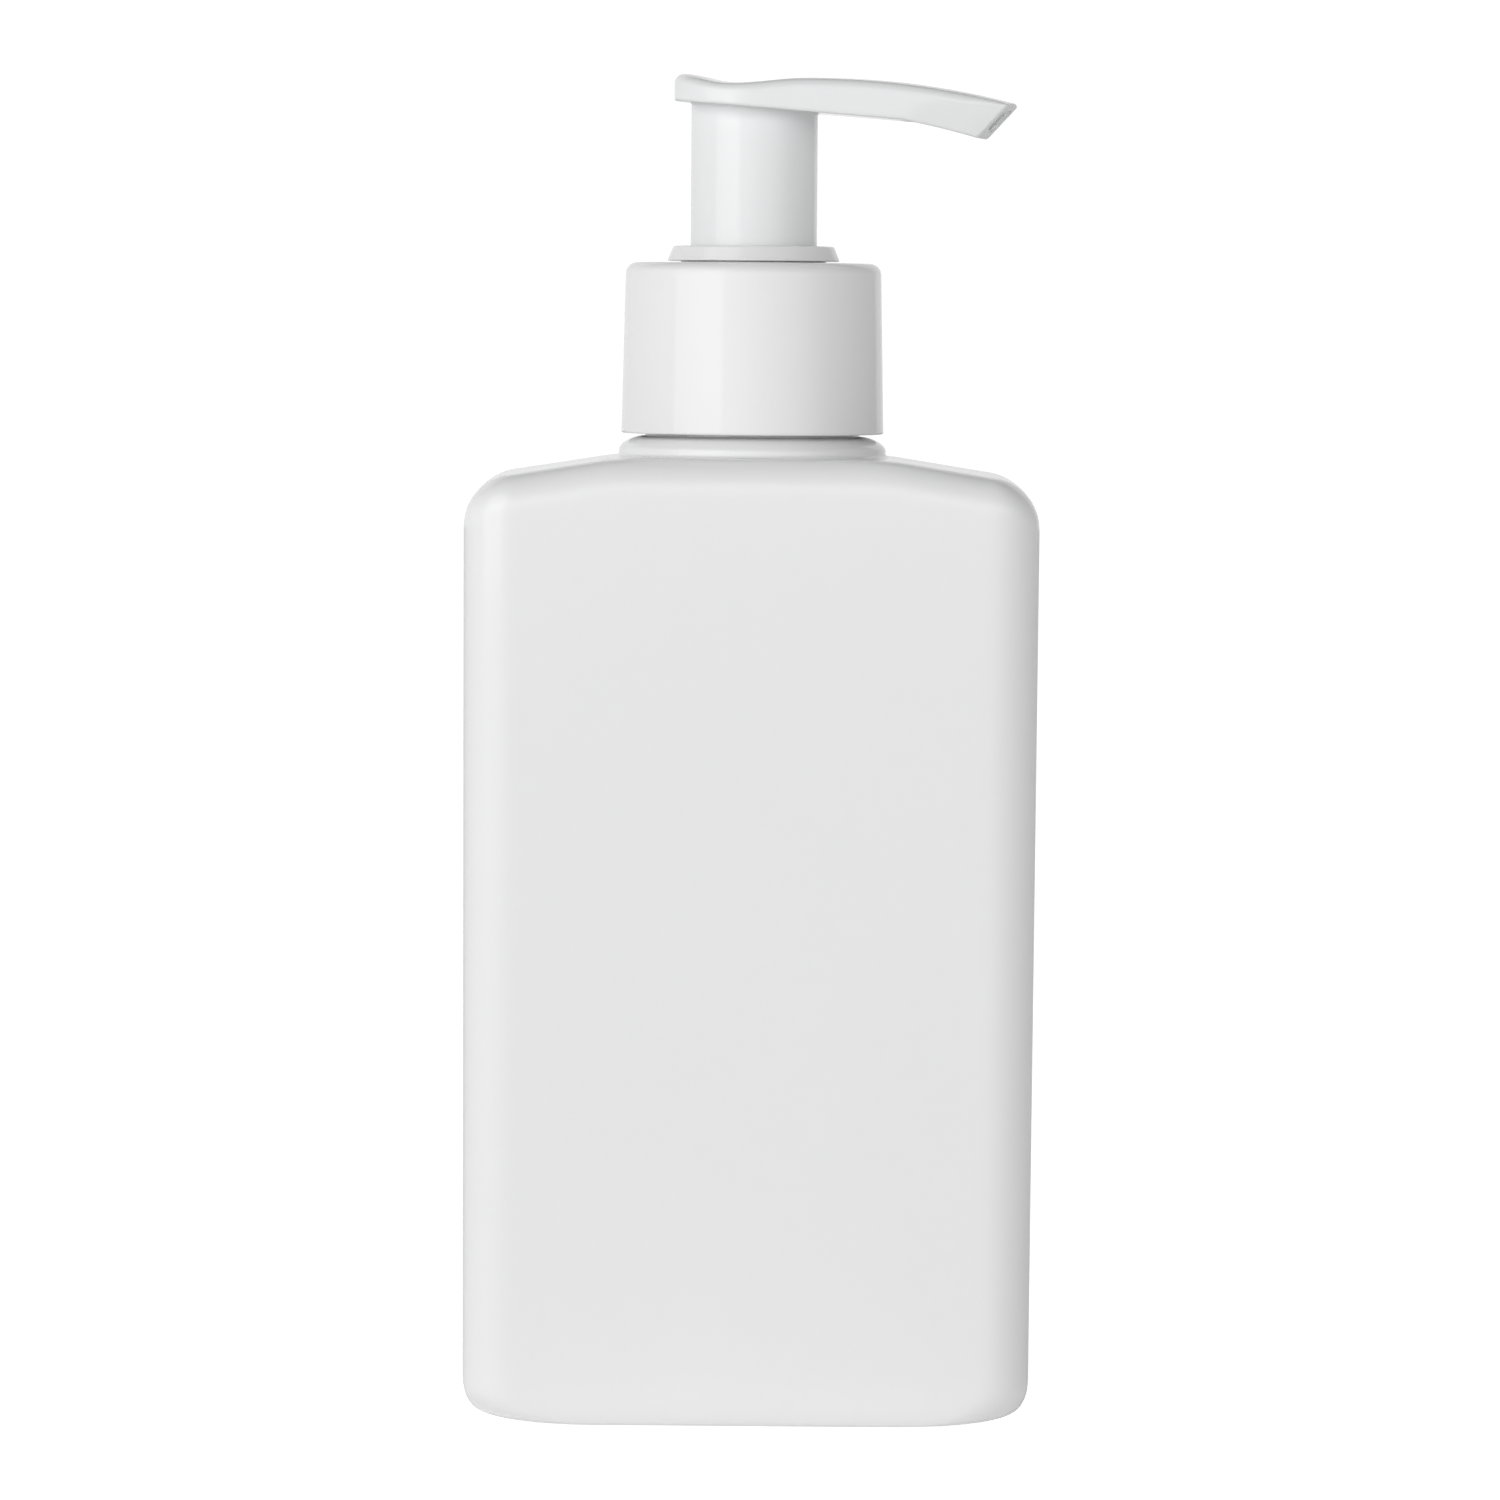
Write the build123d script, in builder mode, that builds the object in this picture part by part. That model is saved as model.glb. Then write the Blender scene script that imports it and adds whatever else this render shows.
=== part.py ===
from build123d import *

import os
from math import cos, radians, sin, sqrt, tan

# A lotion-pump shampoo bottle. All sizes are millimetres.
# The origin is the centre of the base, +Z is up, -Y is the front label face
# and the pump axis is the Z axis.

# Bottle body: a blow-moulded rectangle with round upright corners
body_width = 71.5          # widest, at the shoulder
body_depth = 42.0
body_draft = 0.2           # degrees per side, narrower at the base
plan_corner = 6.3          # upright corner radius
shoulder_height = 120.4    # top of the shoulder, where the neck bead stands
shoulder_slope = 8.5       # degrees, falling towards each narrow side
side_corner = 6.5          # shoulder into narrow side
front_corner = 3.9         # shoulder into front and back face
heel_radius = 3.6
body_wall = 1.2
foot_width = 3.0           # flat ring that the bottle stands on
push_up = 0.9              # height of the recessed base above the foot
push_up_slope = 45         # degrees, sides of the recess

# Neck finish: 28 mm, with one right-handed thread
neck_radius = 12.65        # root of the thread
neck_wall = 1.65
neck_height = 20.3         # bead foot to rim
neck_rim_round = 0.4
bead_reach = 4.15          # bead beyond the neck's wall
bead_height = 2.5
bead_round = 2.2
neck_step = 0.85           # thicker root between the bead and the thread
neck_step_height = 1.9
thread_pitch = 4.23
thread_depth = 1.1
thread_root_width = 2.3
thread_crest_width = 0.9
neck_thread_turns = 1.1
neck_thread_drop = 9.9     # rim down to the start of the thread
thread_bite = 0.25         # how far a thread's root is sunk into its wall

# Clearances between pieces
press_clearance = 0.05     # pieces of one body pushed together
face_gap = 0.1             # flat faces that may turn on each other
running_clearance = 0.05   # stem in its socket, and piston in its cylinder
guide_clearance = 0.3      # head skirt in the lock ring
thread_clearance = 0.3     # crest to facing wall
collar_gap = 0.3           # collar foot above the bead
hole_clearance = 0.3       # collar's hole around the pump's chamber
housing_clearance = 0.8    # pump's chamber in the neck
skirt_bead_clearance = 0.45
ring_gap = 0.2             # lock ring above the collar
spring_clearance = 0.2     # spring outside to cylinder wall
pilot_clearance = 0.9      # spring inside to the rod's pilot
boss_clearance = 0.65      # spring inside to the cage's boss
ball_gap = 0.1             # inlet ball to its seat when closed

# Collar: the smooth cap that screws on
collar_wall = 2.45         # at the foot, outside the bore
collar_taper = 0.45        # foot radius less top radius
collar_top_round = 1.3
collar_bore_round = 0.5
collar_edge_round = 0.3
collar_plate = 1.6
collar_thread_turns = 1.5

# Gasket and pump housing
gasket_thickness = 1.0
gasket_inset = 0.1         # gasket's edge inside the flange's edge
flange_overhang = 0.25     # flange beyond the neck's wall
flange_thickness = 1.2
chamber_wall = 1.0
chamber_depth = 21.4       # flange top down to the chamber floor
chamber_floor = 1.2
cylinder_radius = 5.5
cylinder_wall = 1.1
cylinder_length = 33.5     # chamber floor down to the cylinder floor
cylinder_floor = 1.2
vent_radius = 0.6
vent_rise = 3.6            # chamber floor up to the vent hole

# Inlet valve and dip tube
cage_shelf = 2.5           # cylinder floor left around the inlet chamber
inlet_chamber_depth = 5.0
inlet_ball_play = 0.5      # ball to the inlet chamber's wall
inlet_seat_width = 0.9     # ball radius less the orifice under it
inlet_throat = 0.8         # straight length under the seat cone
tail_wall = 1.2
socket_depth = 9.8
tube_socket_wall = 1.15
tube_wall = 0.9
tube_floor_gap = 3.2       # tip of the tube above the inside of the base
tube_cut = 4.0             # height of the slanted cut at the tip

# Ball cage, spring and plunger
cage_thickness = 1.2
cage_boss_height = 2.0
cage_rib_width = 1.0
cage_rib_reach = 0.9       # radius that the ribs leave open
wire_radius = 0.4
spring_turns = 7.5
rod_flange_thickness = 1.2
rod_flange_drop = 7.3      # top of the cylinder down to the flange's top face
rod_pilot_length = 2.0
rod_body_length = 4.0
rod_spigot_length = 4.0
piston_length = 5.5
piston_lip = 1.3
piston_groove = 0.55       # depth between the two lips
stem_radius = 3.2          # also the piston rod's, so that the two run on flush
stem_bore = 2.0
outlet_ball_play = 0.25    # ball to the stem's bore
outlet_seat_width = 0.65   # ball radius less the rod's bore under it
outlet_lift = 1.3
stem_rib_height = 2.0
stem_rib_width = 0.8
stem_rib_reach = 0.8

# Lock ring: the cone-edged ring that holds the plunger in
ring_overhang = 1.65       # ring's foot beyond the chamber's bore
ring_cone = 0.75           # foot radius less top radius
ring_height = 1.9
ring_sleeve_length = 6.2
ring_sleeve_wall = 0.9
ring_sleeve_round = 0.2
ring_foot_round = 0.25
ring_top_round = 0.4
ring_bore_round = 0.3

# Pump head, with the spout turned a little towards the front
head_turn = -10.0          # degrees about Z
skirt_wall = 1.0
skirt_bead_height = 1.3
skirt_stop_gap = 0.3       # retaining bead under the lock ring's sleeve
skirt_roof = 2.4           # inside of the skirt's top, below the underside
head_rise = 17.3           # lock ring top to the underside at the pump axis
head_margin = 1.0          # overlap of the spout's block and the skirt
head_radius = 10.1
spout_reach = 33.0
spout_end_width = 9.1
lip_height = 4.25          # rear lip above the underside at the pump axis
lip_round = 1.2
saddle_reach = 2.8         # lowest point of the thumb saddle, behind the axis
saddle_height = 3.2
crest_reach = 7.5
crest_height = 3.75
brow_reach = 21.0          # where the spout's back begins to fall
brow_height = 2.95
spout_tip_height = 0.6
spout_toe_reach = 28.9
spout_toe_drop = 3.8
chin_reach = 18.5          # where the spout's underside turns down
underside_slope = 4.6      # degrees, falling towards the spout
socket_wall = 1.15
socket_length = 14.0
stem_seat = 2.0            # top of the stem below the underside

# Liquid channel from the stem to the spout's end, heights from the underside
channel_radius = 1.4
channel_start_height = 0.7
channel_rise_reach = 9.0
channel_rise_height = 1.5
channel_fall_reach = 19.0
channel_fall_height = 0.9
channel_mouth_drop = 2.1
channel_bend = 8.0

# Radii worked out from the sizes above, from the neck inwards
neck_bore = neck_radius - neck_wall
neck_step_radius = neck_radius + neck_step
neck_thread_crest = neck_radius + thread_depth
bead_radius = neck_radius + bead_reach
collar_bore = neck_thread_crest + thread_clearance
collar_thread_crest = neck_radius + thread_clearance + press_clearance
collar_foot_radius = collar_bore + collar_wall
collar_top_radius = collar_foot_radius - collar_taper
flange_radius = neck_radius + flange_overhang
gasket_radius = flange_radius - gasket_inset
chamber_outer = neck_bore - housing_clearance
chamber_radius = chamber_outer - chamber_wall
collar_hole = chamber_radius + hole_clearance
ring_foot_radius = chamber_radius + ring_overhang
ring_top_radius = ring_foot_radius - ring_cone
sleeve_radius = chamber_radius - press_clearance
ring_bore = sleeve_radius - ring_sleeve_wall
skirt_radius = ring_bore - guide_clearance
skirt_bead_radius = chamber_radius - skirt_bead_clearance
cylinder_outer = cylinder_radius + cylinder_wall
inlet_chamber_radius = cylinder_radius - cage_shelf
inlet_ball_radius = inlet_chamber_radius - inlet_ball_play
inlet_orifice = inlet_ball_radius - inlet_seat_width
tail_radius = inlet_chamber_radius + tail_wall
tube_socket = tail_radius - tube_socket_wall
tube_radius = tube_socket - press_clearance
spring_inside = cylinder_radius - spring_clearance - 2 * wire_radius
rod_pilot_radius = spring_inside - pilot_clearance
rod_flange_radius = cylinder_radius - spring_clearance - face_gap
cage_boss_radius = spring_inside - boss_clearance
outlet_ball_radius = stem_bore - outlet_ball_play
rod_bore = outlet_ball_radius - outlet_seat_width
piston_radius = cylinder_radius - running_clearance
piston_bore = stem_radius + press_clearance
socket_radius = stem_radius + running_clearance

# Heights worked out from the sizes above
rim_z = shoulder_height + neck_height
bead_top_z = shoulder_height + bead_height
flange_foot_z = rim_z + gasket_thickness
flange_top_z = flange_foot_z + flange_thickness
collar_foot_z = bead_top_z + collar_gap
plate_z = flange_top_z + face_gap
collar_top_z = plate_z + collar_plate
neck_thread_z = rim_z - neck_thread_drop
collar_thread_z = neck_thread_z - thread_pitch / 2
chamber_floor_z = flange_top_z - chamber_depth
cylinder_floor_z = chamber_floor_z - cylinder_length
inlet_floor_z = cylinder_floor_z - inlet_chamber_depth
throat_top_z = inlet_floor_z - (inlet_chamber_radius - inlet_orifice)
socket_top_z = throat_top_z - inlet_throat
tail_foot_z = socket_top_z - socket_depth
rod_flange_z = chamber_floor_z - rod_flange_drop
rod_foot_z = rod_flange_z - rod_flange_thickness
stem_foot_z = rod_flange_z + rod_body_length
outlet_seat_z = stem_foot_z + rod_spigot_length
ring_foot_z = collar_top_z + ring_gap
ring_top_z = ring_foot_z + ring_height
sleeve_foot_z = ring_foot_z - ring_sleeve_length
skirt_bead_top_z = sleeve_foot_z - skirt_stop_gap
skirt_foot_z = skirt_bead_top_z - skirt_bead_height
underside_z = ring_top_z + head_rise
stem_top_z = underside_z - stem_seat

# Vertical plane along the spout, and the direction of the spout
spout_x = cos(radians(head_turn))
spout_y = sin(radians(head_turn))
spout_plane = Plane(origin=(0, 0, 0), x_dir=(spout_x, spout_y, 0), z_dir=(spout_y, -spout_x, 0))


def body_form(inset):
    """Closed bottle body without its neck, drawn in by inset on every side."""
    base_width = body_width - 2 * shoulder_height * tan(radians(body_draft)) - 2 * inset
    base_depth = body_depth - 2 * shoulder_height * tan(radians(body_draft)) - 2 * inset
    half_width = body_width / 2 - inset
    corner_z = shoulder_height - inset - (half_width - bead_radius) * tan(radians(shoulder_slope))
    with BuildPart() as form:
        with BuildSketch(Plane.XY.offset(inset)):
            RectangleRounded(base_width, base_depth, plan_corner - inset)
        extrude(amount=shoulder_height - 2 * inset, taper=-body_draft)
        fillet(form.faces().sort_by(Axis.Z)[-1].edges(), radius=front_corner - inset)
        fillet(form.faces().sort_by(Axis.Z)[0].edges(), radius=heel_radius - inset)
        with BuildSketch(Plane.XZ):
            with BuildLine():
                side = FilletPolyline(
                    (half_width, 0),
                    (half_width, corner_z),
                    (bead_radius, shoulder_height - inset),
                    (-bead_radius, shoulder_height - inset),
                    (-half_width, corner_z),
                    (-half_width, 0),
                    radius=[side_corner - inset, side_corner, side_corner, side_corner - inset],
                )
                Line(side @ 1, side @ 0)
            make_face()
        extrude(amount=body_depth, both=True, mode=Mode.INTERSECT)
    return form.part


def thread_ridge(wall_radius, crest_radius, foot_z, turns):
    """Right-handed ridge whose root is sunk into the wall that carries it."""
    outward = 1 if crest_radius > wall_radius else -1
    root_radius = wall_radius - outward * thread_bite
    depth = crest_radius - root_radius
    with BuildPart() as ridge:
        with BuildLine() as path:
            Helix(thread_pitch, turns * thread_pitch, root_radius, center=(0, 0, foot_z))
        start = path.line @ 0
        with BuildSketch(Plane(origin=start, x_dir=(1, 0, 0), z_dir=path.line % 0)):
            with BuildLine():
                Polyline(
                    (0, -thread_root_width / 2),
                    (0, thread_root_width / 2),
                    (depth, thread_crest_width / 2),
                    (depth, -thread_crest_width / 2),
                    close=True,
                )
            make_face()
        sweep(path=path.line, is_frenet=True)
    return ridge.part


def save(piece, name):
    """Label one finished piece and write it to its own file."""
    piece.part.label = name
    export_step(piece.part, f"parts/{name}.step")


os.makedirs("parts", exist_ok=True)

# Bottle: hollow body, neck bead and threaded neck in one moulding
foot_inset = heel_radius + foot_width
base_width = body_width - 2 * shoulder_height * tan(radians(body_draft))
base_depth = body_depth - 2 * shoulder_height * tan(radians(body_draft))
with BuildPart() as bottle:
    add(body_form(0))
    with BuildSketch(Plane.XZ):
        with BuildLine():
            FilletPolyline(
                (neck_bore, shoulder_height - body_wall),
                (bead_radius - bead_round, shoulder_height - body_wall),
                (bead_radius, shoulder_height),
                (bead_radius, bead_top_z),
                (neck_step_radius, bead_top_z),
                (neck_step_radius, bead_top_z + neck_step_height),
                (neck_radius, bead_top_z + neck_step_height),
                (neck_radius, rim_z),
                (neck_bore, rim_z),
                radius=[0, 0, bead_round, 0, 0, 0, neck_rim_round],
            )
            Line((neck_bore, rim_z), (neck_bore, shoulder_height - body_wall))
        make_face()
    revolve(axis=Axis.Z)
    add(thread_ridge(neck_radius, neck_thread_crest, neck_thread_z, neck_thread_turns))
    add(body_form(body_wall), mode=Mode.SUBTRACT)
    with BuildSketch(Plane.XY.offset(rim_z)):
        Circle(neck_bore)
    extrude(amount=-neck_height - 2 * body_wall, mode=Mode.SUBTRACT)
    with BuildSketch(Plane.XY):
        RectangleRounded(base_width - 2 * foot_inset, base_depth - 2 * foot_inset, plan_corner)
    extrude(amount=push_up, taper=push_up_slope, mode=Mode.SUBTRACT)
save(bottle, "bottle")

# Collar: smooth screw cap with a hole for the pump in its top plate
with BuildPart() as collar:
    with BuildSketch(Plane.XZ):
        with BuildLine():
            FilletPolyline(
                (collar_hole, plate_z),
                (collar_bore, plate_z),
                (collar_bore, collar_foot_z),
                (collar_foot_radius, collar_foot_z),
                (collar_top_radius, collar_top_z),
                (collar_hole, collar_top_z),
                radius=[
                    collar_bore_round,
                    collar_edge_round,
                    collar_edge_round,
                    collar_top_round,
                    collar_edge_round,
                    0,
                ],
                close=True,
            )
        make_face()
    revolve(axis=Axis.Z)
    add(thread_ridge(collar_bore, collar_thread_crest, collar_thread_z, collar_thread_turns))
save(collar, "collar")

# Gasket: flat ring on the neck's rim
with BuildPart() as neck_gasket:
    with BuildSketch(Plane.XY.offset(rim_z)):
        Circle(gasket_radius)
        Circle(neck_bore, mode=Mode.SUBTRACT)
    extrude(amount=gasket_thickness)
save(neck_gasket, "neck_gasket")

# Pump housing: flange, wide chamber, narrow cylinder, inlet seat and tube socket
with BuildPart() as pump_housing:
    with BuildSketch(Plane.XZ):
        with BuildLine():
            Polyline(
                (flange_radius, flange_top_z),
                (flange_radius, flange_foot_z),
                (chamber_outer, flange_foot_z),
                (chamber_outer, chamber_floor_z - chamber_floor),
                (cylinder_outer, chamber_floor_z - chamber_floor),
                (cylinder_outer, cylinder_floor_z - cylinder_floor),
                (tail_radius, cylinder_floor_z - cylinder_floor),
                (tail_radius, tail_foot_z),
                (tube_socket, tail_foot_z),
                (tube_socket, socket_top_z),
                (inlet_orifice, socket_top_z),
                (inlet_orifice, throat_top_z),
                (inlet_chamber_radius, inlet_floor_z),
                (inlet_chamber_radius, cylinder_floor_z),
                (cylinder_radius, cylinder_floor_z),
                (cylinder_radius, chamber_floor_z),
                (chamber_radius, chamber_floor_z),
                (chamber_radius, flange_top_z),
                close=True,
            )
        make_face()
    revolve(axis=Axis.Z)
    with BuildSketch(Plane.XZ):
        with Locations((0, chamber_floor_z + vent_rise)):
            Circle(vent_radius)
    extrude(amount=chamber_outer + face_gap, mode=Mode.SUBTRACT)
save(pump_housing, "pump_housing")

# Lock ring: cone-edged ring on the collar, with a sleeve down into the housing
with BuildPart() as lock_ring:
    with BuildSketch(Plane.XZ):
        with BuildLine():
            FilletPolyline(
                (ring_bore, sleeve_foot_z),
                (sleeve_radius, sleeve_foot_z),
                (sleeve_radius, ring_foot_z),
                (ring_foot_radius, ring_foot_z),
                (ring_top_radius, ring_top_z),
                (ring_bore, ring_top_z),
                radius=[
                    0,
                    ring_sleeve_round,
                    0,
                    ring_foot_round,
                    ring_top_round,
                    ring_bore_round,
                ],
                close=True,
            )
        make_face()
    revolve(axis=Axis.Z)
save(lock_ring, "lock_ring")

# Dip tube: straight tube with a slanted tip near the base
tube_top_z = socket_top_z - face_gap
tube_foot_z = body_wall + push_up + tube_floor_gap
with BuildPart() as dip_tube:
    with BuildSketch(Plane.XY.offset(tube_foot_z)):
        Circle(tube_radius)
        Circle(tube_radius - tube_wall, mode=Mode.SUBTRACT)
    extrude(amount=tube_top_z - tube_foot_z)
    with BuildSketch(Plane.XZ):
        with BuildLine():
            Polyline(
                (-2 * tube_radius, tube_foot_z),
                (tube_radius, tube_foot_z),
                (-tube_radius, tube_foot_z + tube_cut),
                (-2 * tube_radius, tube_foot_z + tube_cut),
                close=True,
            )
        make_face()
    extrude(amount=2 * tube_radius, both=True, mode=Mode.SUBTRACT)
save(dip_tube, "dip_tube")

# Inlet ball: rests on the cone at the foot of the inlet chamber
cone_apex_z = inlet_floor_z - inlet_chamber_radius
inlet_ball_z = cone_apex_z + (inlet_ball_radius + ball_gap) * sqrt(2)
with BuildPart() as inlet_ball:
    with Locations((0, 0, inlet_ball_z)):
        Sphere(inlet_ball_radius)
save(inlet_ball, "inlet_ball")

# Ball cage: spring seat on the cylinder floor, with three ribs over the ball
cage_hole = inlet_chamber_radius + press_clearance
cage_top_z = cylinder_floor_z + cage_thickness
with BuildPart() as ball_cage:
    with BuildSketch(Plane.XY.offset(cylinder_floor_z)):
        Circle(cylinder_radius - press_clearance)
        Circle(cage_hole, mode=Mode.SUBTRACT)
        with PolarLocations(cage_rib_reach, 3):
            Rectangle(
                cage_hole + cage_rib_width - cage_rib_reach,
                cage_rib_width,
                align=(Align.MIN, Align.CENTER),
            )
    extrude(amount=cage_thickness)
    with BuildSketch(Plane.XY.offset(cage_top_z)):
        Circle(cage_boss_radius)
        Circle(cage_hole, mode=Mode.SUBTRACT)
    extrude(amount=cage_boss_height)
save(ball_cage, "ball_cage")

# Return spring: round wire between the cage and the piston rod, ends ground flat
spring_foot_z = cage_top_z + press_clearance
spring_top_z = rod_foot_z - press_clearance
spring_length = spring_top_z - spring_foot_z
spring_radius = spring_inside + wire_radius
with BuildPart() as return_spring:
    with BuildLine() as coil:
        Helix(spring_length / spring_turns, spring_length, spring_radius, center=(0, 0, spring_foot_z))
    with BuildSketch(Plane(origin=coil.line @ 0, x_dir=(1, 0, 0), z_dir=coil.line % 0)):
        Circle(wire_radius)
    sweep(path=coil.line, is_frenet=True)
    with BuildSketch(Plane.XY.offset(spring_foot_z)):
        Circle(cylinder_radius)
    extrude(amount=spring_length, mode=Mode.INTERSECT)
save(return_spring, "return_spring")

# Piston rod: hollow plug that carries the piston and joins it to the stem
with BuildPart() as piston_rod:
    with BuildSketch(Plane.XZ):
        with BuildLine():
            Polyline(
                (rod_bore, rod_foot_z - rod_pilot_length),
                (rod_pilot_radius, rod_foot_z - rod_pilot_length),
                (rod_pilot_radius, rod_foot_z),
                (rod_flange_radius, rod_foot_z),
                (rod_flange_radius, rod_flange_z),
                (stem_radius, rod_flange_z),
                (stem_radius, stem_foot_z),
                (stem_bore - press_clearance, stem_foot_z),
                (stem_bore - press_clearance, outlet_seat_z),
                (rod_bore, outlet_seat_z),
                close=True,
            )
        make_face()
    revolve(axis=Axis.Z)
save(piston_rod, "piston_rod")

# Piston: soft ring with a sealing lip at each end
piston_foot_z = rod_flange_z + press_clearance
piston_top_z = piston_foot_z + piston_length
piston_waist = piston_radius - piston_groove
with BuildPart() as piston:
    with BuildSketch(Plane.XZ):
        with BuildLine():
            Polyline(
                (piston_bore, piston_foot_z),
                (piston_radius, piston_foot_z),
                (piston_radius, piston_foot_z + piston_lip),
                (piston_waist, piston_foot_z + piston_lip),
                (piston_waist, piston_top_z - piston_lip),
                (piston_radius, piston_top_z - piston_lip),
                (piston_radius, piston_top_z),
                (piston_bore, piston_top_z),
                close=True,
            )
        make_face()
    revolve(axis=Axis.Z)
save(piston, "piston")

# Stem: hollow rod from the piston up into the head, with ribs that stop the outlet ball
outlet_ball_z = outlet_seat_z + sqrt(outlet_ball_radius**2 - rod_bore**2) + ball_gap / 2
stem_rib_z = outlet_ball_z + outlet_lift + outlet_ball_radius + face_gap
with BuildPart() as stem:
    with BuildSketch(Plane.XY.offset(stem_foot_z + press_clearance)):
        Circle(stem_radius)
        Circle(stem_bore, mode=Mode.SUBTRACT)
    extrude(amount=stem_top_z - stem_foot_z - press_clearance)
    with BuildSketch(Plane.XY.offset(stem_rib_z)):
        with PolarLocations(stem_rib_reach, 3):
            Rectangle(stem_bore, stem_rib_width, align=(Align.MIN, Align.CENTER))
    extrude(amount=stem_rib_height)
save(stem, "stem")

# Outlet ball: closes the piston rod's bore inside the stem
with BuildPart() as outlet_ball:
    with Locations((0, 0, outlet_ball_z)):
        Sphere(outlet_ball_radius)
save(outlet_ball, "outlet_ball")

# Pump head: saddle-topped spout on a smooth skirt, with a socket for the stem
lip_z = underside_z + lip_height
fall = tan(radians(underside_slope))
toe_z = underside_z - spout_toe_drop
tip_z = underside_z + spout_tip_height
with BuildPart() as pump_head:
    with BuildSketch(Plane(origin=(0, 0, toe_z - head_margin), x_dir=(spout_x, spout_y, 0))):
        Circle(head_radius)
        with Locations((spout_reach - spout_end_width / 2, 0)):
            Rectangle(spout_end_width, spout_end_width)
        make_hull()
    extrude(amount=lip_z - toe_z + 2 * head_margin)
    with BuildSketch(spout_plane):
        with BuildLine():
            heel = Line((-head_radius, underside_z + head_radius * fall), (-head_radius, lip_z - lip_round))
            lip = RadiusArc(heel @ 1, (-head_radius + lip_round, lip_z), lip_round)
            back = Spline(
                lip @ 1,
                (-saddle_reach, underside_z + saddle_height),
                (crest_reach, underside_z + crest_height),
                (brow_reach, underside_z + brow_height),
                (spout_reach, tip_z),
            )
            end = Line(back @ 1, (spout_toe_reach, toe_z))
            chin = Line((chin_reach, underside_z - chin_reach * fall), heel @ 0)
            TangentArc(chin @ 0, end @ 1, tangent=-(chin % 0))
        make_face()
    extrude(amount=2 * head_radius, both=True, mode=Mode.INTERSECT)
    with BuildSketch(Plane.XZ):
        with BuildLine():
            Polyline(
                (0, underside_z + head_margin),
                (skirt_radius, underside_z + head_margin),
                (skirt_radius, skirt_bead_top_z),
                (skirt_bead_radius, skirt_bead_top_z),
                (skirt_bead_radius, skirt_foot_z),
                (skirt_radius - skirt_wall, skirt_foot_z),
                (skirt_radius - skirt_wall, underside_z - skirt_roof),
                (socket_radius + socket_wall, underside_z - skirt_roof),
                (socket_radius + socket_wall, stem_top_z - socket_length),
                (socket_radius, stem_top_z - socket_length),
                (socket_radius, stem_top_z + face_gap),
                (0, stem_top_z + face_gap),
                close=True,
            )
        make_face()
    revolve(axis=Axis.Z)
    with BuildSketch(Plane.XY.offset(stem_top_z)):
        Circle(channel_radius)
    extrude(amount=stem_seat + channel_start_height, mode=Mode.SUBTRACT)
    with BuildLine(spout_plane) as channel:
        FilletPolyline(
            (0, underside_z + channel_start_height),
            (channel_rise_reach, underside_z + channel_rise_height),
            (channel_fall_reach, underside_z + channel_fall_height),
            (spout_reach, underside_z - channel_mouth_drop),
            radius=channel_bend,
        )
    with BuildSketch(Plane(origin=channel.line @ 0, z_dir=channel.line % 0)):
        Circle(channel_radius)
    sweep(path=channel.line, mode=Mode.SUBTRACT)
save(pump_head, "pump_head")
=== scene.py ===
from math import acos, atan2, ceil, cos, hypot, pi, radians, sin, tan

import bmesh
import bpy
import numpy as np
from mathutils import Matrix, Vector


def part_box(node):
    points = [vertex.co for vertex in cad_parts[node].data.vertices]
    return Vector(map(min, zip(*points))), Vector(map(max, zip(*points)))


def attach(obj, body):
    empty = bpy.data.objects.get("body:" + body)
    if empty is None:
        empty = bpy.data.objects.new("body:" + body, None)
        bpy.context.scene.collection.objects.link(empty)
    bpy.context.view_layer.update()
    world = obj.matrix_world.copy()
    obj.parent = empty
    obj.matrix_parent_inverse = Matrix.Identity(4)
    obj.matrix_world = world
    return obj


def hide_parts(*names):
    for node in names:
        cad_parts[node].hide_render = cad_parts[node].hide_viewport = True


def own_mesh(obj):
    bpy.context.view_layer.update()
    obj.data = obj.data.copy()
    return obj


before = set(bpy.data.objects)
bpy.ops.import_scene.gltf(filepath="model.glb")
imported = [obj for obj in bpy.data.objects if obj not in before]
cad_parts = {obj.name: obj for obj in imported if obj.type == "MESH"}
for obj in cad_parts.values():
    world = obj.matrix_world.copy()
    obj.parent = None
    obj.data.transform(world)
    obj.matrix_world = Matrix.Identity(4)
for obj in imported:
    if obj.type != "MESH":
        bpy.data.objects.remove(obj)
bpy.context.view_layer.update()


# Bottle. The real one is blown in one piece from white polyethylene: a thin box with round
# corners, a sloping shoulder and a stiff neck that carries one right-handed thread.
# The two halves of its mould meet on the narrow sides and pinch the tube shut under the base.
MM = 0.001
bottle_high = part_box("bottle")[1] / MM
rim_z = bottle_high.z
neck_height = 20.3
shoulder_z = rim_z - neck_height
plan_corner = 6.3
body_wall = 1.2
draft = tan(radians(0.2))
side_round = 6.5            # shoulder into the narrow sides
front_round = 4.0           # shoulder into the two wide faces
slope_angle = radians(8.5)
slope = tan(slope_angle)
slope_blend = 2.5           # half length of the bend where the slope starts
ridge_fall = 0.6            # edge of the shoulder below its ridge
heel_rise = 5.7
foot_half = (31.9, 17.2)
foot_corner = 14.5
foot_width = 3.0
push_up = 0.9
panel_sink = 0.12           # how far a wide face pulls in as it cools
bead_radius = 16.8
bead_land = 0.3             # upright part of the bead
bead_dome = (3.3, 2.2)      # its domed top, across and up
bead_power = 1.7
bead_root = 0.45            # soft corner between shoulder and bead
step_rise = 1.9             # ledge above the bead
step_radius = 13.5
neck_radius = 12.65
neck_bore = 11.0
neck_edge = 0.1             # corners of the ledge, across
rim_round = 0.4
bore_edge = 0.15
inner_root = 0.3            # soft corner inside, between neck and shoulder
thread_pitch = 4.23
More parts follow.
